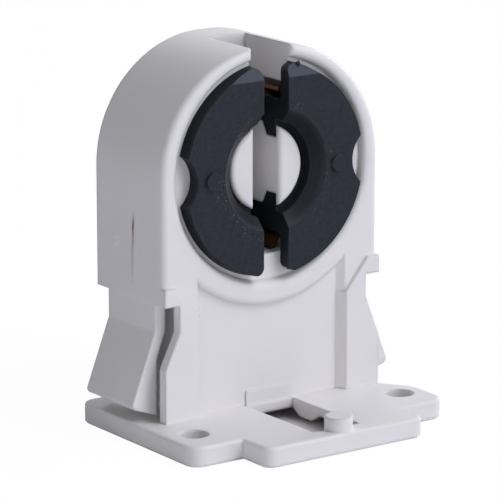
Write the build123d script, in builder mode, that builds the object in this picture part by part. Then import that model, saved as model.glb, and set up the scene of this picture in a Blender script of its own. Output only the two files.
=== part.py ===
from build123d import *
from math import cos, pi, sin
import os

os.makedirs("parts", exist_ok=True)

# Every depth below is counted backwards from the rotor face, every drop downwards from the tube axis.
# The part itself stands with the middle of its two foot holes, on the underside, at the origin.

# How far a cutting shape reaches past the face that it cuts, and the reach of an edge choice
OVERCUT = 1.0
TOUCH = 0.01

# Tube end: two pins
PIN_PITCH = 12.7
PIN_R = 1.18
PIN_LENGTH = 7.6

# Foot plate
HOLE_HALF_PITCH = 13.0
PLATE_BOTTOM = 26.9
PLATE_T = 2.15
PLATE_SKIN = 0.9
PLATE_RIM = 1.2
PLATE_EDGE_R = 0.3
PLATE_FOOT_BEVEL = 0.2
NOSE_HALF = 9.9
NOSE_FRONT = -12.4
NOSE_CORNER_R = 1.2
EAR_HALF = HOLE_HALF_PITCH + 2.95
EAR_FRONT = -8.15
EAR_CORNER_R = 1.6
EAR_CUT_FROM = -2.6
EAR_CUT_TO = 0.9
EAR_CUT_R = 2.2
HOLE_DEPTH = -3.95
HOLE_R = 1.5
HOLE_BOSS_R = 2.45
WINDOW_HALF = 2.9
WINDOW_FRONT = -10.4
WINDOW_BACK = 1.07
LUG_FRONT = -3.6
LUG_BACK = 1.3
LUG_END = 1.4
LUG_T = 1.1
LUG_LIFT = 0.4
PEG_R = 1.45
PEG_RISE = 1.4
PEG_DEPTH = -10.8

# Arched body over a narrower neck, open at the back
BODY_HALF = 13.5
BODY_TOP = BODY_HALF - 0.65
ARCH_R = BODY_HALF - 0.7
BODY_FACE = 0.75
BODY_BACK = 12.95
SHOULDER_DROP = 12.6
NECK_HALF = BODY_HALF - 3.3
WALL = 1.2
FRONT_WALL_BACK = 2.65
EDGE_R = 0.7
SLIT_TOP = (5.75, -3.0)
SLIT_MIDDLE = (6.3, -6.2)
SLIT_BOTTOM = (6.3, -11.0)
SLIT_W = 0.22

# Front openings of the body
RECESS_R = BODY_HALF - 1.85
RECESS_FLOOR = 1.6
RING_R = RECESS_R + 2.5
RING_BEAD_R = 0.6
RECESS_LIP_R = 0.75
RING_TURN = 44 * pi / 180
CAVITY_R = 9.0
CAVITY_WALL = 1.0
CAVITY_BACK = PIN_LENGTH + 1.3
PARTITION_T = 1.1
INSULATOR_T = 1.0
SLOT_HALF = 2.38
SLOT_WALL = 1.0
SLOT_MOUTH_R = 0.7

# Lower front: two proud posts beside a sunk panel
POST_FACE = 0.38
POST_INNER = NECK_HALF - 0.9
POST_DRAFT = 0.6
POST_TOP_DROP = SHOULDER_DROP - 1.85
POST_BEVEL_HALF = BODY_HALF - 1.4
POST_BEVEL_DROP = SHOULDER_DROP + 1.5
WING_HALF = BODY_HALF - 1.78
WING_BACK = 1.5
WING_BEND_DROP = SHOULDER_DROP + 2.8
WING_FOOT_DROP = WING_BEND_DROP + 3.8
PANEL_FACE = 1.45
PANEL_TOP_DROP = 10.0
PAD_RISE = 0.15
PAD_TOP_DROP = PLATE_BOTTOM - PLATE_T - 1.6

# Snap legs
LEG_FRONT = 2.5
LEG_BACK = 11.0
LEG_HALF = BODY_HALF - 0.1
LEG_ROOT_RISE = 0.5
LEG_ROOT_INNER = LEG_HALF - 1.33
LEG_BEND_DROP = SHOULDER_DROP + 3.0
LEG_ROOT_INNER_DROP = LEG_BEND_DROP - 0.1
LEG_TIP_HALF = LEG_HALF + 2.8
LEG_END_DROP = PLATE_BOTTOM - PLATE_T - 0.45
LEG_TIP_DROP = LEG_END_DROP - 1.4
LEG_TIP_STEP = (0.2, 0.4)
LEG_INNER_HALF = LEG_HALF - 0.25
LEG_INNER_DROP = LEG_BEND_DROP + 2.8
LEG_TIP_R = 0.35

# Rotor
ROTOR_BACK_R = RECESS_R - 0.45
ROTOR_R = ROTOR_BACK_R - 0.2
ROTOR_FLANGE_T = 1.5
ROTOR_SLOT_HALF = PIN_R + 0.38
MOUTH_R = PIN_PITCH / 2
MOUTH_DEPTH = 1.2
COUNTERBORE_R = MOUTH_R - 1.27
LIP_FRONT = 2.35
LIP_BACK = 3.95
LIP_R = 3.4
LIP_SLOPE = 0.85
HUB_R = 7.2
HUB_BORE_R = 4.9
HUB_BACK = 8.5
LEAD_IN_RISE = ROTOR_R - 1.4
LEAD_IN_SLOPE = 2.0
SLOT_CORNER_R = 0.8
NOTCH_R = 3.35
NOTCH_HALF = ROTOR_R + 2.0
MARK_R = 0.9
MARK_HALF = ROTOR_R - 3.2
MARK_RISE = 0.3
MARK_DROP = 0.1

# Core post, on which the rotor snaps and turns
NECK_CLEARANCE = 0.05
HEAD_FRONT = 1.7
HEAD_R = 4.45
HEAD_EDGE_R = 0.45
LIP_CLEARANCE = 0.1
CORE_R = 4.6
CORE_SLOT_HALF = PIN_R + 0.37
CORE_SLOT_EDGE_R = 0.5
CORE_SLOPE_BACK = 4.85

# Rear cover
COVER_FRONT = BODY_BACK - 1.0
COVER_LEDGE = 0.6
COVER_CLEARANCE = 0.08
STEM_R = 7.0
STEM_WALL = 1.2

# Contacts: bent strip
STRIP_T = 0.4
STRIP_FRONT = 3.1
STRIP_BACK = 7.9
STRIP_END = (2.4, 7.75)
PIN_GAP = 0.14
STRIP_MIDDLE = PIN_PITCH / 2 + PIN_R + PIN_GAP + STRIP_T / 2
TAIL_HALF = 1.75
TAIL_RISE = 8.75
BRIDGE_DROP = 13.9
BRIDGE_LAP = 1.0
TERMINAL_FRONT = 3.1
TERMINAL_BACK = 9.9
TERMINAL_END_DROP = 22.4
TONGUE_ROOT = 4.4
TONGUE_BEND_DROP = BRIDGE_DROP + 1.2
TONGUE_TIP = (7.0, 19.2)
TONGUE_W = 3.0
TAIL_WINDOW_HALF = (1.2, 3.1)
TAIL_WINDOW_H = 2.6
TAIL_CLEARANCE = 0.3
WIRE_R = 1.05
WIRE_HALF = 7.75
WIRE_PITCH = 3.4

TUBE_AXIS_AT = (0, -HOLE_DEPTH, PLATE_BOTTOM)
TUBE_AXIS = Axis(TUBE_AXIS_AT, (0, 1, 0))
SIDE = Plane(TUBE_AXIS_AT, x_dir=(0, 1, 0), z_dir=(1, 0, 0))
PLATE_TOP = PLATE_BOTTOM - PLATE_T
TERMINAL_CENTRE = (TERMINAL_FRONT + TERMINAL_BACK) / 2


def front_y(depth):
    """The part's own y at a depth behind the rotor face."""
    return depth - HOLE_DEPTH


def facing(depth):
    """Drawing plane seen from the front, centred on the tube axis: x right, y up."""
    return Plane(TUBE_AXIS_AT, x_dir=(1, 0, 0), z_dir=(0, -1, 0)).offset(-depth)


def level(drop):
    """Drawing plane seen from above, at a drop below the tube axis: x right, y backwards."""
    return Plane.XY.offset(PLATE_BOTTOM - drop).move(Location((0, -HOLE_DEPTH, 0)))


def rounded_edge(face_depth, wall_r, edge_r, outward):
    """Points of a round edge on a turned section, as three flats: outward 1 on a disc, -1 on a hole."""
    centre_r = wall_r - outward * edge_r
    return [
        (face_depth + edge_r * (1 - sin(turn)), centre_r + outward * edge_r * cos(turn))
        for turn in (pi / 2, pi / 3, pi / 6, 0)
    ]


def body_section(inset, foot_drop):
    """Arch over the neck, drawn smaller by inset all round, down to foot_drop."""
    half = BODY_HALF - inset
    top = BODY_TOP - inset
    shoulder = SHOULDER_DROP - inset
    with BuildSketch(mode=Mode.PRIVATE) as section:
        with Locations((0, (top - shoulder) / 2)):
            Rectangle(2 * half, top + shoulder)
        fillet(section.vertices().group_by(Axis.Y)[-1], ARCH_R - inset)
        with Locations((0, -foot_drop / 2)):
            Rectangle(2 * (NECK_HALF - inset), foot_drop)
    return section.sketch


def plate_outline():
    """Foot plate: a nose between two ears, its right side cut back behind the ear."""
    with BuildSketch(mode=Mode.PRIVATE) as outline:
        with BuildLine():
            Polyline(
                (-EAR_HALF, BODY_BACK), (-EAR_HALF, EAR_FRONT), (-NOSE_HALF, EAR_FRONT),
                (-NOSE_HALF, NOSE_FRONT), (NOSE_HALF, NOSE_FRONT), (NOSE_HALF, EAR_FRONT),
                (EAR_HALF, EAR_FRONT), (EAR_HALF, EAR_CUT_FROM), (BODY_HALF, EAR_CUT_TO),
                (BODY_HALF, BODY_BACK), close=True,
            )
        make_face()
        corners = outline.vertices()
        ears = [v for v in corners if abs(v.X) > BODY_HALF + TOUCH]
        fillet([v for v in ears if v.Y != EAR_CUT_FROM], EAR_CORNER_R)
        fillet([v for v in outline.vertices() if abs(v.Y - EAR_CUT_FROM) < TOUCH], EAR_CUT_R)
        fillet(outline.vertices().group_by(Axis.Y)[0], NOSE_CORNER_R)
    return outline.sketch


with BuildPart() as housing:
    # Foot plate, its upper edge rounded and its lower edge bevelled
    with BuildSketch(level(PLATE_BOTTOM)):
        add(plate_outline())
    extrude(amount=PLATE_T)
    flats = housing.faces().sort_by(Axis.Z)
    fillet(flats[-1].edges(), PLATE_EDGE_R)
    chamfer(flats[0].edges(), PLATE_FOOT_BEVEL)

    # Cored from below: a rim and two screw bosses stay full depth
    with BuildSketch(level(PLATE_BOTTOM)):
        add(plate_outline())
        offset(amount=-PLATE_RIM, mode=Mode.REPLACE)
        with Locations((-HOLE_HALF_PITCH, HOLE_DEPTH), (HOLE_HALF_PITCH, HOLE_DEPTH)):
            Circle(HOLE_BOSS_R, mode=Mode.SUBTRACT)
        with Locations((0, BODY_BACK - WALL)):
            Rectangle(2 * WALL, 2 * (BODY_BACK - WALL - TERMINAL_BACK), mode=Mode.SUBTRACT)
    extrude(amount=PLATE_T - PLATE_SKIN, mode=Mode.SUBTRACT)

    # Rounded lugs that hang beside the window
    with BuildSketch(SIDE) as lug:
        with BuildLine():
            Polyline(
                (LUG_FRONT, -PLATE_TOP - PLATE_SKIN / 2), (LUG_FRONT, -PLATE_TOP - PLATE_SKIN),
                (LUG_FRONT + LUG_END, LUG_LIFT - PLATE_BOTTOM),
                (LUG_BACK - LUG_END, LUG_LIFT - PLATE_BOTTOM),
                (LUG_BACK, -PLATE_TOP - PLATE_SKIN), (LUG_BACK, -PLATE_TOP - PLATE_SKIN / 2), close=True,
            )
        make_face()
        fillet(lug.vertices().group_by(Axis.Y)[0], LUG_END / 2)
    extrude(amount=WINDOW_HALF + LUG_T, both=True)

    # Arched body and neck as one block, front edge rounded over
    with BuildSketch(facing(BODY_FACE)):
        add(body_section(0, PLATE_TOP))
    extrude(amount=BODY_FACE - BODY_BACK)
    front_edges = housing.edges().filter_by_position(
        Axis.Y, front_y(BODY_FACE) - TOUCH, front_y(BODY_FACE) + TOUCH
    )
    fillet([e for e in front_edges if e.center().Z > PLATE_BOTTOM - SHOULDER_DROP + TOUCH], EDGE_R)

    # Hollow behind the front wall, and the ledge that the rear cover lies on
    with BuildSketch(facing(FRONT_WALL_BACK)):
        add(body_section(WALL, PLATE_TOP))
    extrude(amount=FRONT_WALL_BACK - BODY_BACK, mode=Mode.SUBTRACT)
    with BuildSketch(facing(COVER_FRONT)):
        add(body_section(COVER_LEDGE, PLATE_TOP))
    extrude(amount=COVER_FRONT - BODY_BACK, mode=Mode.SUBTRACT)

    # Cavity wall and slot walls behind the front wall, and the wall that ends the slot
    with BuildSketch(facing(FRONT_WALL_BACK)):
        Circle(CAVITY_R + CAVITY_WALL)
        with Locations((0, BODY_TOP / 2)):
            Rectangle(2 * (SLOT_HALF + SLOT_WALL), BODY_TOP - WALL)
    extrude(amount=FRONT_WALL_BACK - CAVITY_BACK)
    with BuildSketch(facing(CAVITY_BACK)):
        with Locations((0, (CAVITY_R + CAVITY_WALL + BODY_TOP - WALL / 2) / 2)):
            Rectangle(2 * (SLOT_HALF + SLOT_WALL), BODY_TOP - WALL / 2 - CAVITY_R - CAVITY_WALL)
    extrude(amount=-PARTITION_T)

    # Insulating wall between the two contacts
    with BuildSketch(facing(FRONT_WALL_BACK)):
        with Locations((0, -(CAVITY_R + PLATE_TOP) / 2)):
            Rectangle(INSULATOR_T, PLATE_TOP - CAVITY_R)
    extrude(amount=FRONT_WALL_BACK - CAVITY_BACK)

    # Sunk panel between the posts, and the rounded ring under the rotor
    with BuildSketch(facing(BODY_FACE - OVERCUT)):
        with Locations((0, -(PANEL_TOP_DROP + PLATE_TOP) / 2)):
            Rectangle(2 * POST_INNER, PLATE_TOP - PANEL_TOP_DROP)
        Circle((RECESS_R + RING_R) / 2, mode=Mode.SUBTRACT)
    extrude(amount=BODY_FACE - OVERCUT - PANEL_FACE, mode=Mode.SUBTRACT)
    ring_end = Plane(TUBE_AXIS_AT, x_dir=(0, 1, 0), z_dir=(cos(RING_TURN), 0, sin(RING_TURN)))
    with BuildSketch(ring_end) as ring:
        with Locations(((BODY_FACE + FRONT_WALL_BACK) / 2, -(RECESS_R + RING_R) / 2)):
            Rectangle(FRONT_WALL_BACK - BODY_FACE, RING_R - RECESS_R)
        fillet(ring.vertices().sort_by(Axis.X)[:2].sort_by(Axis.Y)[0], RING_BEAD_R)
    revolve(axis=TUBE_AXIS, revolution_arc=2 * RING_TURN * 180 / pi)

    # Wings, and the proud faces of the posts with their bevelled tops
    with BuildSketch(facing(BODY_FACE)):
        with BuildLine():
            Polyline(
                (POST_INNER, -SHOULDER_DROP), (WING_HALF, -SHOULDER_DROP),
                (WING_HALF, -WING_BEND_DROP), (BODY_HALF, -WING_FOOT_DROP),
                (BODY_HALF, -PLATE_TOP), (POST_INNER, -PLATE_TOP), close=True,
            )
        make_face()
        mirror(about=Plane.YZ)
    extrude(amount=BODY_FACE - WING_BACK)
    with BuildSketch(facing(POST_FACE)):
        with BuildLine():
            Polyline(
                (POST_BEVEL_HALF, -POST_TOP_DROP), (BODY_HALF, -POST_TOP_DROP),
                (BODY_HALF, -SHOULDER_DROP), (WING_HALF, -SHOULDER_DROP),
                (WING_HALF, -WING_BEND_DROP), (BODY_HALF, -WING_FOOT_DROP),
                (BODY_HALF, -PLATE_TOP), (POST_INNER, -PLATE_TOP),
                (POST_INNER, -POST_BEVEL_DROP), close=True,
            )
        make_face()
        mirror(about=Plane.YZ)
    extrude(amount=POST_FACE - WING_BACK)
    with BuildSketch(level(PLATE_TOP)):
        with BuildLine():
            Polyline(
                (POST_INNER, POST_FACE), (POST_INNER, PANEL_FACE),
                (POST_INNER - POST_DRAFT, PANEL_FACE), close=True,
            )
        make_face()
        mirror(about=Plane.YZ)
    extrude(amount=PLATE_TOP - POST_BEVEL_DROP)
    with BuildSketch(level(POST_BEVEL_DROP)):
        with BuildLine():
            Polyline(
                (POST_INNER, BODY_FACE), (POST_INNER, PANEL_FACE),
                (POST_INNER - POST_DRAFT, PANEL_FACE), close=True,
            )
        make_face()
        mirror(about=Plane.YZ)
    extrude(amount=POST_BEVEL_DROP - PANEL_TOP_DROP)

    # Rotor recess with its rounded lip, cavity and the tube slot from the top
    with BuildSketch(SIDE):
        with BuildLine():
            Polyline(
                (RECESS_FLOOR, 0), (BODY_FACE - OVERCUT, 0), (BODY_FACE - OVERCUT, RECESS_R + RECESS_LIP_R),
                *rounded_edge(BODY_FACE, RECESS_R, RECESS_LIP_R, -1), (RECESS_FLOOR, RECESS_R), close=True,
            )
        make_face()
    revolve(axis=TUBE_AXIS, mode=Mode.SUBTRACT)
    with BuildSketch(facing(BODY_FACE - OVERCUT)):
        Circle(CAVITY_R)
        with Locations((0, (BODY_TOP + OVERCUT) / 2)):
            Rectangle(2 * SLOT_HALF, BODY_TOP + OVERCUT)
    extrude(amount=BODY_FACE - OVERCUT - CAVITY_BACK, mode=Mode.SUBTRACT)

    # Rounded mouth of the tube slot
    with BuildSketch(level(-CAVITY_R)):
        with Locations((SLOT_HALF + SLOT_MOUTH_R / 2, BODY_FACE + SLOT_MOUTH_R / 2)):
            Rectangle(SLOT_MOUTH_R, SLOT_MOUTH_R)
        with Locations((SLOT_HALF + SLOT_MOUTH_R, BODY_FACE + SLOT_MOUTH_R)):
            Circle(SLOT_MOUTH_R, mode=Mode.SUBTRACT)
        mirror(about=Plane.YZ)
    extrude(amount=BODY_TOP, mode=Mode.SUBTRACT)

    # Windows in the cavity wall for the contact tails, and the wire entries below
    with BuildSketch(facing(STRIP_FRONT - TAIL_CLEARANCE)):
        with Locations((0, -CAVITY_R - TAIL_CLEARANCE)):
            with GridLocations(sum(TAIL_WINDOW_HALF), 0, 2, 1):
                Rectangle(TAIL_WINDOW_HALF[1] - TAIL_WINDOW_HALF[0], TAIL_WINDOW_H)
    extrude(amount=STRIP_FRONT - TAIL_CLEARANCE - CAVITY_BACK, mode=Mode.SUBTRACT)
    with BuildSketch(level(PLATE_BOTTOM)):
        with Locations((0, TERMINAL_CENTRE)):
            with GridLocations(2 * WIRE_HALF, WIRE_PITCH, 2, 2):
                Circle(WIRE_R)
    extrude(amount=PLATE_T, mode=Mode.SUBTRACT)

    # Pad on the panel foot, then the window through the plate and the peg at its front edge
    with BuildSketch(facing(PANEL_FACE - PAD_RISE)):
        with Locations((0, -(PAD_TOP_DROP + PLATE_TOP) / 2)):
            Rectangle(2 * WINDOW_HALF, PLATE_TOP - PAD_TOP_DROP)
    extrude(amount=-PAD_RISE)
    with BuildSketch(level(PLATE_BOTTOM)):
        with Locations((0, (WINDOW_FRONT + WINDOW_BACK) / 2)):
            Rectangle(2 * WINDOW_HALF, WINDOW_BACK - WINDOW_FRONT)
        with Locations((-HOLE_HALF_PITCH, HOLE_DEPTH), (HOLE_HALF_PITCH, HOLE_DEPTH)):
            Circle(HOLE_R)
    extrude(amount=PLATE_T, mode=Mode.SUBTRACT)
    with BuildSketch(level(PLATE_BOTTOM)):
        with Locations((0, PEG_DEPTH)):
            Circle(PEG_R)
    extrude(amount=PLATE_T + PEG_RISE)

    # Snap legs that hang from the shoulders
    with BuildSketch(facing(LEG_FRONT)) as leg:
        with BuildLine():
            Polyline(
                (LEG_ROOT_INNER, LEG_ROOT_RISE - SHOULDER_DROP), (LEG_HALF, LEG_ROOT_RISE - SHOULDER_DROP),
                (LEG_HALF, -LEG_BEND_DROP), (LEG_TIP_HALF, -LEG_TIP_DROP),
                (LEG_TIP_HALF - LEG_TIP_STEP[0], -LEG_TIP_DROP - LEG_TIP_STEP[1]),
                (LEG_INNER_HALF, -LEG_END_DROP), (LEG_INNER_HALF, -LEG_INNER_DROP),
                (LEG_ROOT_INNER, -LEG_ROOT_INNER_DROP),
                close=True,
            )
        make_face()
        fillet(leg.vertices().sort_by(Axis.X)[-2:], LEG_TIP_R)
        mirror(about=Plane.YZ)
    extrude(amount=LEG_FRONT - LEG_BACK)

    # Fine curved slit through the left side wall, pointed at both ends
    with BuildSketch(SIDE.offset(-BODY_HALF)):
        with BuildLine():
            ThreePointArc(SLIT_BOTTOM, (SLIT_MIDDLE[0] - SLIT_W / 2, SLIT_MIDDLE[1]), SLIT_TOP)
            ThreePointArc(SLIT_BOTTOM, (SLIT_MIDDLE[0] + SLIT_W / 2, SLIT_MIDDLE[1]), SLIT_TOP)
        make_face()
    extrude(amount=2 * WALL, both=True, mode=Mode.SUBTRACT)
housing.part.label = "housing"


with BuildPart() as rear_cover:
    # Plate that drops into the open back
    with BuildSketch(facing(COVER_FRONT)):
        add(body_section(COVER_LEDGE + COVER_CLEARANCE, PLATE_TOP - COVER_CLEARANCE))
    extrude(amount=COVER_FRONT - BODY_BACK)

    # Hollow stem and the partition that closes the cavity
    with BuildSketch(facing(CAVITY_BACK + PARTITION_T)):
        Circle(STEM_R)
        Circle(STEM_R - STEM_WALL, mode=Mode.SUBTRACT)
    extrude(amount=CAVITY_BACK + PARTITION_T - COVER_FRONT)
    with BuildSketch(facing(CAVITY_BACK)):
        Circle(CAVITY_R + CAVITY_WALL - COVER_CLEARANCE)
    extrude(amount=-PARTITION_T)

    # Core post: snap head, neck and cone, turned about the tube axis
    with BuildSketch(SIDE):
        with BuildLine():
            Polyline(
                (HEAD_FRONT, 0), *rounded_edge(HEAD_FRONT, HEAD_R, HEAD_EDGE_R, 1),
                (LIP_FRONT - LIP_CLEARANCE, HEAD_R),
                (LIP_FRONT - LIP_CLEARANCE, LIP_R - NECK_CLEARANCE),
                (LIP_BACK + LIP_CLEARANCE, LIP_R - NECK_CLEARANCE),
                (CORE_SLOPE_BACK, CORE_R), (CAVITY_BACK, CORE_R), (CAVITY_BACK, 0), close=True,
            )
        make_face()
    revolve(axis=TUBE_AXIS)

    # Slot for the pins, across the post
    with BuildSketch(facing(HEAD_FRONT)):
        Rectangle(2 * CORE_SLOT_HALF, 2 * (CORE_R + OVERCUT))
    extrude(amount=HEAD_FRONT - CAVITY_BACK, mode=Mode.SUBTRACT)
    core_face = rear_cover.faces().filter_by(Axis.Y).group_by(Axis.Y)[0]
    slot_edges = core_face.edges().filter_by(Axis.Z)
    fillet(slot_edges, CORE_SLOT_EDGE_R)
rear_cover.part.label = "rear_cover"


with BuildPart() as rotor:
    # Flange, hub and snap lip in one turned section
    with BuildSketch(SIDE):
        with BuildLine():
            Polyline(
                (0, MOUTH_R), (MOUTH_DEPTH, COUNTERBORE_R), (LIP_FRONT, COUNTERBORE_R),
                (LIP_FRONT, LIP_R), (LIP_BACK, LIP_R),
                (LIP_BACK + LIP_SLOPE, HUB_BORE_R), (HUB_BACK, HUB_BORE_R), (HUB_BACK, HUB_R),
                (ROTOR_FLANGE_T, HUB_R), (ROTOR_FLANGE_T, ROTOR_BACK_R), (0, ROTOR_R), close=True,
            )
        make_face()
    revolve(axis=TUBE_AXIS)

    # Slot right across, closed only by a ring at the back of the hub
    with BuildSketch(facing(0)):
        Rectangle(2 * ROTOR_SLOT_HALF, 2 * (ROTOR_BACK_R + OVERCUT))
    extrude(amount=-PIN_LENGTH, mode=Mode.SUBTRACT)

    # Slot mouths rounded at the rim
    corner_x = ROTOR_SLOT_HALF + SLOT_CORNER_R
    corner_z = (ROTOR_R**2 - corner_x**2) ** 0.5 - SLOT_CORNER_R
    with BuildSketch(facing(0)):
        with Locations((corner_x - SLOT_CORNER_R, corner_z)):
            Rectangle(SLOT_CORNER_R, ROTOR_R, align=(Align.MIN, Align.MIN))
        with Locations((corner_x, corner_z)):
            Circle(SLOT_CORNER_R, mode=Mode.SUBTRACT)
        mirror(about=Plane.YZ)
        mirror(about=Plane.XZ)
    extrude(amount=-ROTOR_FLANGE_T, mode=Mode.SUBTRACT)

    # Sloped lead-in above the slot
    with BuildSketch(SIDE):
        with BuildLine():
            Polyline(
                (-OVERCUT, LEAD_IN_RISE - LEAD_IN_SLOPE * OVERCUT),
                (-OVERCUT, ROTOR_BACK_R + LEAD_IN_SLOPE), (OVERCUT, ROTOR_BACK_R + LEAD_IN_SLOPE),
                (OVERCUT, LEAD_IN_RISE + LEAD_IN_SLOPE * OVERCUT), close=True,
            )
        make_face()
    extrude(amount=ROTOR_BACK_R, both=True, mode=Mode.SUBTRACT)

    # Finger notches at both sides and two round marks that stand proud
    with BuildSketch(facing(0)):
        with Locations((-NOTCH_HALF, 0), (NOTCH_HALF, 0)):
            Circle(NOTCH_R)
    extrude(amount=-ROTOR_FLANGE_T, mode=Mode.SUBTRACT)
    with BuildSketch(facing(-MARK_RISE)):
        with Locations((-MARK_HALF, -MARK_DROP), (MARK_HALF, -MARK_DROP)):
            Circle(MARK_R)
    extrude(amount=-MARK_RISE - ROTOR_FLANGE_T / 2)
rotor.part.label = "rotor"


def contact(side):
    """Bent strip beside the cavity: an arc for the pin, a tail and a push-in terminal."""
    end_x, end_z = STRIP_END
    wall = NECK_HALF - WALL - STRIP_T / 2
    with BuildPart(mode=Mode.PRIVATE) as strip:
        with BuildSketch(facing(STRIP_FRONT)):
            with BuildLine():
                arc = ThreePointArc(
                    (side * end_x, end_z), (side * STRIP_MIDDLE, 0), (side * end_x, -end_z)
                )
                bend = Line(arc @ 1, (side * TAIL_HALF, -TAIL_RISE))
                tail = Line(bend @ 1, (side * TAIL_HALF, -BRIDGE_DROP))
                Line(tail @ 1, (side * (TAIL_HALF + 2 * BRIDGE_LAP), -BRIDGE_DROP))
            trace(line_width=STRIP_T)
        extrude(amount=STRIP_FRONT - STRIP_BACK)
        with BuildSketch(facing(TERMINAL_FRONT)):
            with BuildLine():
                Polyline(
                    (side * (TAIL_HALF + BRIDGE_LAP), -BRIDGE_DROP), (side * wall, -BRIDGE_DROP),
                    (side * wall, -TERMINAL_END_DROP),
                )
            trace(line_width=STRIP_T)
        extrude(amount=TERMINAL_FRONT - TERMINAL_BACK)
        for depth in (TERMINAL_CENTRE - WIRE_PITCH / 2, TERMINAL_CENTRE + WIRE_PITCH / 2):
            with BuildSketch(facing(depth - TONGUE_W / 2)):
                with BuildLine():
                    Polyline(
                        (side * TONGUE_ROOT, -BRIDGE_DROP), (side * TONGUE_ROOT, -TONGUE_BEND_DROP),
                        (side * TONGUE_TIP[0], -TONGUE_TIP[1]),
                    )
                trace(line_width=STRIP_T)
            extrude(amount=-TONGUE_W)
    return strip.part


with BuildPart() as contact_left:
    add(contact(-1))
contact_left.part.label = "contact_left"

with BuildPart() as contact_right:
    add(contact(1))
contact_right.part.label = "contact_right"

export_step(housing.part, "parts/housing.step")
export_step(rear_cover.part, "parts/rear_cover.step")
export_step(rotor.part, "parts/rotor.step")
export_step(contact_left.part, "parts/contact_left.step")
export_step(contact_right.part, "parts/contact_right.step")
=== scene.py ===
import math

import bmesh
import bpy
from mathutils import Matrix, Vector, noise


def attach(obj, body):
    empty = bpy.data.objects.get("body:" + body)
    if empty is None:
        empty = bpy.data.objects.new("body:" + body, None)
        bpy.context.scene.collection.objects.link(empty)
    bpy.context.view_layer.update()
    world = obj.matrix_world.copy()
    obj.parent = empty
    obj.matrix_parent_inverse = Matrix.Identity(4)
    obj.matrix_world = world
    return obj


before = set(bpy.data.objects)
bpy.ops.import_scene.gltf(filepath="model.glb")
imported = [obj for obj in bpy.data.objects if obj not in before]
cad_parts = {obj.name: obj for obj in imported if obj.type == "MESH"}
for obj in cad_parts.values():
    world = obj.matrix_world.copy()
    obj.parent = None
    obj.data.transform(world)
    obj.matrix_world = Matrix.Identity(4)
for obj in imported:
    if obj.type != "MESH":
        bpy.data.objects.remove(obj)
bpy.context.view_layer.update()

# Camera. A long lens stands in front of the holder, to its left and a little above it, so that the
# upright edges stay nearly parallel and the left wall shows beside the front.
CAMERA_AT = (-0.196398, -0.269787, 0.100257)
CAMERA_LOOK = Vector((0.56016, 0.79419, -0.23553))
CAMERA_LENS = 243.54
CAMERA_SENSOR = 36

scene = bpy.context.scene
scene.view_settings.view_transform = "Standard"
camera = bpy.data.objects.new("camera", bpy.data.cameras.new("camera"))
scene.collection.objects.link(camera)
camera.location = CAMERA_AT
camera.rotation_mode = "QUATERNION"
camera.rotation_quaternion = CAMERA_LOOK.to_track_quat("-Z", "Y")
camera.data.lens, camera.data.sensor_width = CAMERA_LENS, CAMERA_SENSOR
camera.data.clip_start, camera.data.clip_end = 0.01, 20
scene.camera = camera

# Softboxes. Square cloth boxes hang a metre away all round, the strongest one above the front
# right, so that the front is bright, the left wall falls into half tone and the back isn't dark.
# Their light is a little cool, as daylight tubes give.
DAYLIGHT = (0.88, 0.89, 1.0)
SOFTBOX_SIZE = (0.45, 0.45)
SOFTBOX_DISTANCE = 1.0
HOLDER_MIDDLE = Vector((0, 0.004, 0.02))


def hang_lamp(name, place, size, watts):
    """Hangs a flat lamp of a width and height at a place, turned to the middle of the holder."""
    lamp = bpy.data.lights.new(name, "AREA")
    lamp.shape = "RECTANGLE"
    lamp.size, lamp.size_y = size
    lamp.energy = watts
    lamp.color = DAYLIGHT
    obj = bpy.data.objects.new(name, lamp)
    scene.collection.objects.link(obj)
    obj.location = place
    obj.rotation_mode = "QUATERNION"
    obj.rotation_quaternion = (HOLDER_MIDDLE - place).to_track_quat("-Z", "Y")
    return obj


def way_out(turn, rise):
    """Direction at a turn to the right of the front and a rise above the table, in degrees."""
    turn, rise = math.radians(turn), math.radians(rise)
    flat = math.cos(rise)
    return Vector((math.sin(turn) * flat, -math.cos(turn) * flat, math.sin(rise)))


for name, turn, rise, watts in (
    ("softbox_above_front", 30, 50, 4.7),
    ("softbox_low_front", 30, 12, 2.2),
    ("softbox_above_right", 70, 50, 1.5),
    ("softbox_low_right", 100, 20, 2.7),
    ("softbox_low_left", -50, 12, 0.75),
    ("softbox_back_right", 150, 30, 0.6),
    ("softbox_back_left", -150, 25, 0.35),
):
    place = HOLDER_MIDDLE + SOFTBOX_DISTANCE * way_out(turn, rise)
    hang_lamp(name, place, SOFTBOX_SIZE, watts)

# Reflector. A white strip stands low beside the holder, at its left, and throws light up at the
# left wall, as the bright table does in the studio.
REFLECTOR_TURN = -60
REFLECTOR_DISTANCE = 0.11
REFLECTOR_HEIGHT = Vector((0, 0, 0.006))
REFLECTOR_SIZE = (0.12, 0.01)
REFLECTOR_WATTS = 0.016

place = REFLECTOR_DISTANCE * way_out(REFLECTOR_TURN, 0) + REFLECTOR_HEIGHT
reflector = hang_lamp("reflector_left", place, REFLECTOR_SIZE, REFLECTOR_WATTS)
reflector.visible_camera = False

# Studio room. White card stands all round, out of the light: the camera, polished metal and clear
# plastic see it as white, and it sends only a weak, even light back to the holder.
PURE_WHITE = (1, 1, 1, 1)
ROOM_LIGHT = 0.07


def add_node(tree, kind, settings=(), inputs=(), links=()):
    """Adds one shader node, sets its settings and input values, and links other nodes to it."""
    node = tree.nodes.new(kind)
    for key, value in dict(settings).items():
        setattr(node, key, value)
    for key, value in dict(inputs).items():
        node.inputs[key].default_value = value
    for key, (source, socket) in dict(links).items():
        tree.links.new(source.outputs[socket], node.inputs[key])
    return node


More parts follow.
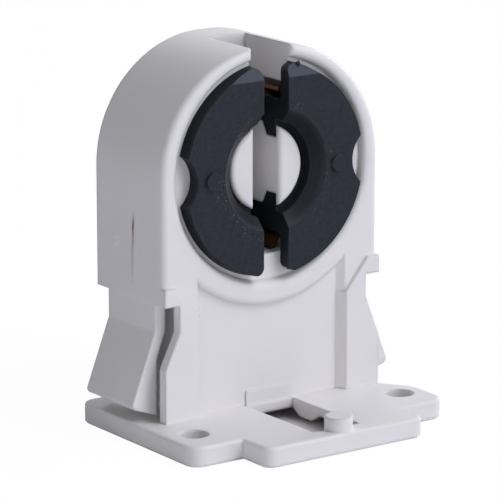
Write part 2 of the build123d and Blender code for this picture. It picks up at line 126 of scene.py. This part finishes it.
room = bpy.data.worlds.new("studio_room")
scene.world = room
room.use_nodes = True
tree = room.node_tree
tree.nodes.clear()
path = add_node(tree, "ShaderNodeLightPath")
seen = add_node(
    tree, "ShaderNodeMath", {"operation": "MAXIMUM"},
    links={0: (path, "Is Camera Ray"), 1: (path, "Is Glossy Ray")},
)
seen = add_node(
    tree, "ShaderNodeMath", {"operation": "MAXIMUM"},
    links={0: (seen, 0), 1: (path, "Is Transmission Ray")},
)
dim_card = add_node(
    tree, "ShaderNodeBackground", inputs={"Color": PURE_WHITE, "Strength": ROOM_LIGHT}
)
white_card = add_node(tree, "ShaderNodeBackground", inputs={"Color": PURE_WHITE, "Strength": 1.0})
card = add_node(
    tree, "ShaderNodeMixShader", links={0: (seen, 0), 1: (dim_card, 0), 2: (white_card, 0)}
)
add_node(tree, "ShaderNodeOutputWorld", links={"Surface": (card, 0)})

# Table. The holder stands on a sheet of white paper, which burns out nearly to white round it, and
# keeps a trace of its shadow. Under the foot plate lies a smaller sheet without the glow, greyer
# than the paper, so the shade there is partly cast by the lamps and partly painted.
PAPER = "#F4F4F6"
PAPER_HALF = 3.0
PAPER_DROP = 0.00002
PAPER_GLOW = 0.95
GLOW_STRENGTH = 1.02
SHADE = "#D6D2D2"
SHADE_HALF = 0.009
SHADE_Y = 0.003
SHADE_DROP = 0.00001


def linear(hex_colour):
    """sRGB hex value to the linear colour that a shader socket takes."""
    parts = [int(hex_colour[i : i + 2], 16) / 255 for i in (1, 3, 5)]
    return tuple(c / 12.92 if c <= 0.04045 else ((c + 0.055) / 1.055) ** 2.4 for c in parts) + (1,)


def bare_material(name):
    """New material with no nodes yet, and its tree."""
    material = bpy.data.materials.new(name)
    material.use_nodes = True
    material.node_tree.nodes.clear()
    return material, material.node_tree


def lay_paper(name, half_width, place, colour, glow):
    """Lays a square of paper; glow is the share of its look that stays white in shadow too."""
    bm = bmesh.new()
    bmesh.ops.create_grid(bm, x_segments=1, y_segments=1, size=half_width)
    bmesh.ops.translate(bm, verts=bm.verts, vec=place)
    mesh = bpy.data.meshes.new(name)
    bm.to_mesh(mesh)
    bm.free()
    sheet = bpy.data.objects.new(name, mesh)
    scene.collection.objects.link(sheet)
    paper, tree = bare_material(name)
    matt = add_node(tree, "ShaderNodeBsdfDiffuse", inputs={"Color": linear(colour)})
    white = add_node(
        tree, "ShaderNodeEmission", inputs={"Color": PURE_WHITE, "Strength": GLOW_STRENGTH}
    )
    path = add_node(tree, "ShaderNodeLightPath")
    share = add_node(
        tree, "ShaderNodeMath", {"operation": "MULTIPLY"}, {1: glow}, {0: (path, "Is Camera Ray")}
    )
    lit = add_node(
        tree, "ShaderNodeMixShader", links={0: (share, 0), 1: (matt, 0), 2: (white, 0)}
    )
    add_node(tree, "ShaderNodeOutputMaterial", links={"Surface": (lit, 0)})
    mesh.materials.append(paper)


lay_paper("white_paper", PAPER_HALF, (0, 0, -PAPER_DROP), PAPER, PAPER_GLOW)
lay_paper("paper_with_painted_shade", SHADE_HALF, (0, SHADE_Y, -SHADE_DROP), SHADE, 0.0)

# Housing and rear cover. Both are injection moulded in one white polyester, filled with glass, and
# the cover snaps into the open back. Of the walls only the left one is marked: a fine slit, with
# brown painted at its lips as the reflection of the bronze contact behind it, and beside it a swirl
# that the flow has left.
WHITE = "#EBE9E6"
WHITE_CLOUD = "#E5E3E0"
CLOUD_WIDTH = 0.00714
SPECK = "#A49E9C"
SPECK_R = 0.00005
SPECK_PITCH = 0.004
SPECK_STRENGTH = 0.8
GRAIN_WIDTH = 0.0001111
GRAIN_DEPTH = 0.00001
EDGE_SOFTNESS = 0.00045
SLIT_BRONZE_REFLECTION = "#B5705C"
SLIT_AT = (-0.0135, 0.01018, 0.0212)
SLIT_REACH = (0.0006, 0.00022, 0.0022)
SWIRL = "#F6F6F8"
SWIRL_AT = (-0.0135, 0.0133, 0.0197)
SWIRL_REACH = (0.0006, 0.0007, 0.0011)
SWIRL_STRENGTH = 0.8
RIPPLE_WIDTH = 0.000625
WHITE_ROUGHNESS = (0.38, 0.46)
WHITE_SHINE = 0.3
POLYESTER_IOR = 1.5
BEVEL_SAMPLES = 8

# A colour Mix node's sockets share their names with its other kinds, so they are called by number.
MIX_A, MIX_B, MIXED = 6, 7, 2


def soft_edged_grain(tree, place, grain, softness):
    """Noise of a grain's width, and a normal with that grain and with softened edges."""
    grit = add_node(
        tree, "ShaderNodeTexNoise", inputs={"Scale": 1 / grain, "Detail": 2.0, "Roughness": 0.6},
        links={"Vector": (place, "Object")},
    )
    edge = add_node(tree, "ShaderNodeBevel", {"samples": BEVEL_SAMPLES}, {"Radius": softness})
    bump = add_node(
        tree, "ShaderNodeBump", inputs={"Strength": 0.25, "Distance": GRAIN_DEPTH},
        links={"Height": (grit, "Fac"), "Normal": (edge, "Normal")},
    )
    return grit, bump


def spot(tree, place, centre, reach):
    """Mask of a soft spot on the piece: 1 round its centre, 0 at its reach along x, y and z."""
    scale = [1 / r for r in reach]
    near = add_node(
        tree, "ShaderNodeMapping",
        inputs={"Location": [-c * s for c, s in zip(centre, scale)], "Scale": scale},
        links={"Vector": (place, "Object")},
    )
    away = add_node(
        tree, "ShaderNodeVectorMath", {"operation": "LENGTH"}, links={0: (near, "Vector")}
    )
    return add_node(
        tree, "ShaderNodeMapRange",
        inputs={"From Min": 0.3, "From Max": 1.0, "To Min": 1.0, "To Max": 0.0},
        links={"Value": (away, "Value")},
    )


def finish_nodes(names, material):
    """Gives CAD nodes their finish."""
    for name in names:
        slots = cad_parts[name].data.materials
        slots.clear()
        slots.append(material)


# Moulded polyester looks satin. To the eye it gives a soft, wide gloss over warm white, flow clouds
# about 7 mm across that hardly show, and a small dark speck here and there. Its grain is drawn
# 0.11 mm wide, about three times the real one, so that it shows.
white_polyester, tree = bare_material("moulded_white_polyester")
place = add_node(tree, "ShaderNodeTexCoord")
cloud = add_node(
    tree, "ShaderNodeTexNoise", inputs={"Scale": 1 / CLOUD_WIDTH, "Detail": 3.0, "Roughness": 0.5},
    links={"Vector": (place, "Object")},
)
shade = add_node(
    tree, "ShaderNodeMix", {"data_type": "RGBA"},
    {MIX_A: linear(WHITE), MIX_B: linear(WHITE_CLOUD)}, {"Factor": (cloud, "Fac")},
)
cell = add_node(
    tree, "ShaderNodeTexVoronoi", inputs={"Scale": 1 / SPECK_PITCH},
    links={"Vector": (place, "Object")},
)
speck = add_node(
    tree, "ShaderNodeMapRange",
    inputs={
        "From Min": 0.6 * SPECK_R / SPECK_PITCH, "From Max": SPECK_R / SPECK_PITCH,
        "To Min": SPECK_STRENGTH, "To Max": 0.0,
    },
    links={"Value": (cell, "Distance")},
)
shade = add_node(
    tree, "ShaderNodeMix", {"data_type": "RGBA"}, {MIX_B: linear(SPECK)},
    {"Factor": (speck, "Result"), MIX_A: (shade, MIXED)},
)
# Brown is painted round the slit as the reflection of the bronze contact behind it.
slit_reflection = spot(tree, place, SLIT_AT, SLIT_REACH)
shade = add_node(
    tree, "ShaderNodeMix", {"data_type": "RGBA"}, {MIX_B: linear(SLIT_BRONZE_REFLECTION)},
    {"Factor": (slit_reflection, "Result"), MIX_A: (shade, MIXED)},
)
swirl = spot(tree, place, SWIRL_AT, SWIRL_REACH)
ripple = add_node(
    tree, "ShaderNodeTexNoise",
    inputs={"Scale": 1 / RIPPLE_WIDTH, "Detail": 1.0, "Distortion": 2.5},
    links={"Vector": (place, "Object")},
)
ripple = add_node(
    tree, "ShaderNodeMapRange",
    inputs={"From Min": 0.45, "From Max": 0.6, "To Min": 0.0, "To Max": SWIRL_STRENGTH},
    links={"Value": (ripple, "Fac")},
)
swirl = add_node(
    tree, "ShaderNodeMath", {"operation": "MULTIPLY"},
    links={0: (swirl, "Result"), 1: (ripple, "Result")},
)
shade = add_node(
    tree, "ShaderNodeMix", {"data_type": "RGBA"}, {MIX_B: linear(SWIRL)},
    {"Factor": (swirl, 0), MIX_A: (shade, MIXED)},
)
grit, bump = soft_edged_grain(tree, place, GRAIN_WIDTH, EDGE_SOFTNESS)
rough = add_node(
    tree, "ShaderNodeMapRange",
    inputs={"To Min": WHITE_ROUGHNESS[0], "To Max": WHITE_ROUGHNESS[1]},
    links={"Value": (grit, "Fac")},
)
skin = add_node(
    tree, "ShaderNodeBsdfPrincipled",
    inputs={"IOR": POLYESTER_IOR, "Specular IOR Level": WHITE_SHINE},
    links={
        "Base Color": (shade, MIXED), "Roughness": (rough, "Result"), "Normal": (bump, "Normal"),
    },
)
add_node(tree, "ShaderNodeOutputMaterial", links={"Surface": (skin, 0)})
finish_nodes(("housing", "rear_cover"), white_polyester)

# Rotor. A dark grey polyester disc, moulded in one piece with its hub, snaps over the core post
# and turns there with the tube. Tube caps have scuffed it pale round its mouth.
FACE_Y = 0.00395
TUBE_AXIS = Vector((0, FACE_Y, 0.0269))
MOUTH_R = 0.00635
ROTOR_GREY = "#2D3138"
ROTOR_CLOUD = "#24282D"
ROTOR_CLOUD_WIDTH = 0.0004545
WALL_PAINTED_SHADE = "#111317"
WALL_SHADE_STRENGTH = 0.6
WALL_FADE = (0.0001, 0.0005)
LEAD_IN_HIGHLIGHT_GREY = "#4A4F57"
LEAD_IN_HIGHLIGHT_STRENGTH = 0.8
LEAD_IN_START = Vector((0, FACE_Y, 0.0365))
LEAD_IN_SLOPE = 2.0
LEAD_IN_FADE = (0.00005, 0.00015)
SCUFF = "#7C8087"
SCUFF_STRENGTH = 0.8
SCUFF_REACH = 0.0010
SCRATCH_WIDTH = 0.0003846
PATCH_WIDTH = 0.003846
EDGE_HIGHLIGHT_GREY = "#454A54"
EDGE_HIGHLIGHT_STRENGTH = 0.7
EDGE_HIGHLIGHT_R = 0.00016
ROTOR_GRAIN_WIDTH = 0.00014286
ROTOR_EDGE_SOFTNESS = 0.00008
ROTOR_ROUGHNESS = (0.42, 0.50)
ROTOR_SHINE = 0.12

# The dark polyester is duller than the white. The eye finds it matt and faintly mottled. Paler grey
# is painted on its edges and on the sloped lead-in as highlight, and near-black is painted on the
# walls behind its face, in its slot and hub, as shade. Scratches of 0.4 mm lie in patches of 4 mm.
# The mottle, at 0.45 mm, and the grain, at 0.14 mm, are drawn several times as wide as the real
# ones, so that they show.
grey_polyester, tree = bare_material("moulded_dark_grey_polyester")
place = add_node(tree, "ShaderNodeTexCoord")
cloud = add_node(
    tree, "ShaderNodeTexNoise",
    inputs={"Scale": 1 / ROTOR_CLOUD_WIDTH, "Detail": 6.0, "Roughness": 0.75},
    links={"Vector": (place, "Object")},
)
cloud = add_node(
    tree, "ShaderNodeMapRange", inputs={"From Min": 0.35, "From Max": 0.65},
    links={"Value": (cloud, "Fac")},
)
shade = add_node(
    tree, "ShaderNodeMix", {"data_type": "RGBA"},
    {MIX_A: linear(ROTOR_GREY), MIX_B: linear(ROTOR_CLOUD)}, {"Factor": (cloud, "Result")},
)

# Painted shade: the walls behind the face darken within half a millimetre of it.
axes = add_node(tree, "ShaderNodeSeparateXYZ", links={"Vector": (place, "Object")})
wall_shade = add_node(
    tree, "ShaderNodeMapRange",
    inputs={
        "From Min": FACE_Y + WALL_FADE[0], "From Max": FACE_Y + WALL_FADE[1],
        "To Min": 0.0, "To Max": WALL_SHADE_STRENGTH,
    },
    links={"Value": (axes, "Y")},
)
shade = add_node(
    tree, "ShaderNodeMix", {"data_type": "RGBA"}, {MIX_B: linear(WALL_PAINTED_SHADE)},
    {"Factor": (wall_shade, "Result"), MIX_A: (shade, MIXED)},
)

# The lead-in is the plane that rises to the back from LEAD_IN_START, so the paler grey painted
# there as highlight keeps within a tenth of a millimetre of that plane.
off_slope = add_node(
    tree, "ShaderNodeVectorMath", {"operation": "SUBTRACT"}, {1: LEAD_IN_START},
    {0: (place, "Object")},
)
off_slope = add_node(
    tree, "ShaderNodeVectorMath", {"operation": "DOT_PRODUCT"}, {1: (0, -LEAD_IN_SLOPE, 1)},
    {0: (off_slope, "Vector")},
)
off_slope = add_node(
    tree, "ShaderNodeMath", {"operation": "ABSOLUTE"}, links={0: (off_slope, "Value")}
)
lead_in_highlight = add_node(
    tree, "ShaderNodeMapRange",
    inputs={
        "From Min": LEAD_IN_FADE[0], "From Max": LEAD_IN_FADE[1],
        "To Min": LEAD_IN_HIGHLIGHT_STRENGTH, "To Max": 0.0,
    },
    links={"Value": (off_slope, 0)},
)
shade = add_node(
    tree, "ShaderNodeMix", {"data_type": "RGBA"}, {MIX_B: linear(LEAD_IN_HIGHLIGHT_GREY)},
    {"Factor": (lead_in_highlight, "Result"), MIX_A: (shade, MIXED)},
)

# Scuffs lie in a ring round the mouth, where tube caps rub, and only in patches of it.
centred = add_node(
    tree, "ShaderNodeMapping", inputs={"Location": -TUBE_AXIS}, links={"Vector": (place, "Object")}
)
flat = add_node(
    tree, "ShaderNodeVectorMath", {"operation": "MULTIPLY"}, {1: (1, 0, 1)},
    {0: (centred, "Vector")},
)
radius = add_node(
    tree, "ShaderNodeVectorMath", {"operation": "LENGTH"}, links={0: (flat, "Vector")}
)
off_ring = add_node(
    tree, "ShaderNodeMath", {"operation": "SUBTRACT"}, {1: MOUTH_R + SCUFF_REACH / 2},
    {0: (radius, "Value")},
)
off_ring = add_node(tree, "ShaderNodeMath", {"operation": "ABSOLUTE"}, links={0: (off_ring, 0)})
near_ring = add_node(
    tree, "ShaderNodeMapRange",
    inputs={"From Min": 0.0, "From Max": SCUFF_REACH, "To Min": 1.0, "To Max": 0.0},
    links={"Value": (off_ring, 0)},
)
scratch = add_node(
    tree, "ShaderNodeTexNoise",
    inputs={"Scale": 1 / SCRATCH_WIDTH, "Detail": 3.0, "Roughness": 0.7, "Distortion": 1.5},
    links={"Vector": (place, "Object")},
)
scratch = add_node(
    tree, "ShaderNodeMapRange",
    inputs={"From Min": 0.60, "From Max": 0.68, "To Min": 0.0, "To Max": SCUFF_STRENGTH},
    links={"Value": (scratch, "Fac")},
)
patchy = add_node(
    tree, "ShaderNodeTexNoise", inputs={"Scale": 1 / PATCH_WIDTH, "Detail": 1.0},
    links={"Vector": (place, "Object")},
)
patchy = add_node(
    tree, "ShaderNodeMapRange", inputs={"From Min": 0.48, "From Max": 0.58},
    links={"Value": (patchy, "Fac")},
)
scuffed = add_node(
    tree, "ShaderNodeMath", {"operation": "MULTIPLY"},
    links={0: (scratch, "Result"), 1: (near_ring, "Result")},
)
scuffed = add_node(
    tree, "ShaderNodeMath", {"operation": "MULTIPLY"},
    links={0: (scuffed, 0), 1: (patchy, "Result")},
)
shade = add_node(
    tree, "ShaderNodeMix", {"data_type": "RGBA"}, {MIX_B: linear(SCUFF)},
    {"Factor": (scuffed, 0), MIX_A: (shade, MIXED)},
)

# An edge is where the rounded normal leaves the true one. A paler grey is painted there as
# highlight, in the same patches as the scuffs.
surface = add_node(tree, "ShaderNodeNewGeometry")
edge = add_node(tree, "ShaderNodeBevel", {"samples": BEVEL_SAMPLES}, {"Radius": EDGE_HIGHLIGHT_R})
edge = add_node(
    tree, "ShaderNodeVectorMath", {"operation": "DOT_PRODUCT"},
    links={0: (edge, "Normal"), 1: (surface, "Normal")},
)
edge = add_node(
    tree, "ShaderNodeMapRange",
    inputs={"From Min": 0.99, "From Max": 0.85, "To Min": 0.0, "To Max": EDGE_HIGHLIGHT_STRENGTH},
    links={"Value": (edge, "Value")},
)
edge = add_node(
    tree, "ShaderNodeMath", {"operation": "MULTIPLY"},
    links={0: (edge, "Result"), 1: (patchy, "Result")},
)
shade = add_node(
    tree, "ShaderNodeMix", {"data_type": "RGBA"}, {MIX_B: linear(EDGE_HIGHLIGHT_GREY)},
    {"Factor": (edge, 0), MIX_A: (shade, MIXED)},
)
grit, bump = soft_edged_grain(tree, place, ROTOR_GRAIN_WIDTH, ROTOR_EDGE_SOFTNESS)
rough = add_node(
    tree, "ShaderNodeMapRange",
    inputs={"To Min": ROTOR_ROUGHNESS[0], "To Max": ROTOR_ROUGHNESS[1]},
    links={"Value": (grit, "Fac")},
)
skin = add_node(
    tree, "ShaderNodeBsdfPrincipled",
    inputs={"IOR": POLYESTER_IOR, "Specular IOR Level": ROTOR_SHINE},
    links={
        "Base Color": (shade, MIXED), "Roughness": (rough, "Result"), "Normal": (bump, "Normal"),
    },
)
add_node(tree, "ShaderNodeOutputMaterial", links={"Surface": (skin, 0)})
finish_nodes(("rotor",), grey_polyester)

# Moulding flash on the rotor. A ragged crumb of the same polyester, squeezed out where the mould's
# halves met, is still on the rim beside the mouth of the slot.
FLASH_AT = (0.0030, 0.00445, 0.03763)
FLASH_R = 0.00030
FLASH_STRETCH = (0.8, 0.7, 1.0)
FLASH_RAGGED = 0.5
FLASH_LUMPS = 1.7

bm = bmesh.new()
bmesh.ops.create_icosphere(bm, subdivisions=2, radius=FLASH_R)
for vert in bm.verts:
    vert.co *= 1 + FLASH_RAGGED * noise.noise(vert.co / FLASH_R * FLASH_LUMPS)
bmesh.ops.scale(bm, verts=bm.verts, vec=FLASH_STRETCH)
bmesh.ops.translate(bm, verts=bm.verts, vec=FLASH_AT)
mesh = bpy.data.meshes.new("rotor_flash")
bm.to_mesh(mesh)
bm.free()
mesh.materials.append(grey_polyester)
flash = bpy.data.objects.new("rotor_flash", mesh)
scene.collection.objects.link(flash)
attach(flash, "turning_rotor")

# Contacts. Each is one strip of phosphor bronze, rolled thin, punched and bent, and pushed into
# its chamber from behind. The pins rub on its arc, and its two tongues grip the wires.
BRONZE = "#7E573C"
BRONZE_STREAK = "#6A4830"
BRONZE_ROUGHNESS = (0.48, 0.62)
STREAK_WIDTH = 0.0001111
STREAK_LENGTH = 0.003333

# Rolled bronze that has aged shows a dull brown gleam, with the rolling's streaks along the strip.
# They are drawn 0.11 mm wide and 3 mm long, wider than the real ones, so that they show.
rolled_bronze, tree = bare_material("rolled_phosphor_bronze")
place = add_node(tree, "ShaderNodeTexCoord")
stretch = add_node(
    tree, "ShaderNodeMapping",
    inputs={"Scale": (1 / STREAK_WIDTH, 1 / STREAK_LENGTH, 1 / STREAK_LENGTH)},
    links={"Vector": (place, "Object")},
)
roll = add_node(
    tree, "ShaderNodeTexNoise", inputs={"Scale": 1.0, "Detail": 2.0},
    links={"Vector": (stretch, "Vector")},
)
shade = add_node(
    tree, "ShaderNodeMix", {"data_type": "RGBA"},
    {MIX_A: linear(BRONZE), MIX_B: linear(BRONZE_STREAK)}, {"Factor": (roll, "Fac")},
)
rough = add_node(
    tree, "ShaderNodeMapRange",
    inputs={"To Min": BRONZE_ROUGHNESS[0], "To Max": BRONZE_ROUGHNESS[1]},
    links={"Value": (roll, "Fac")},
)
skin = add_node(
    tree, "ShaderNodeBsdfPrincipled", inputs={"Metallic": 1.0},
    links={"Base Color": (shade, MIXED), "Roughness": (rough, "Result")},
)
add_node(tree, "ShaderNodeOutputMaterial", links={"Surface": (skin, 0)})
finish_nodes(("contact_left", "contact_right"), rolled_bronze)
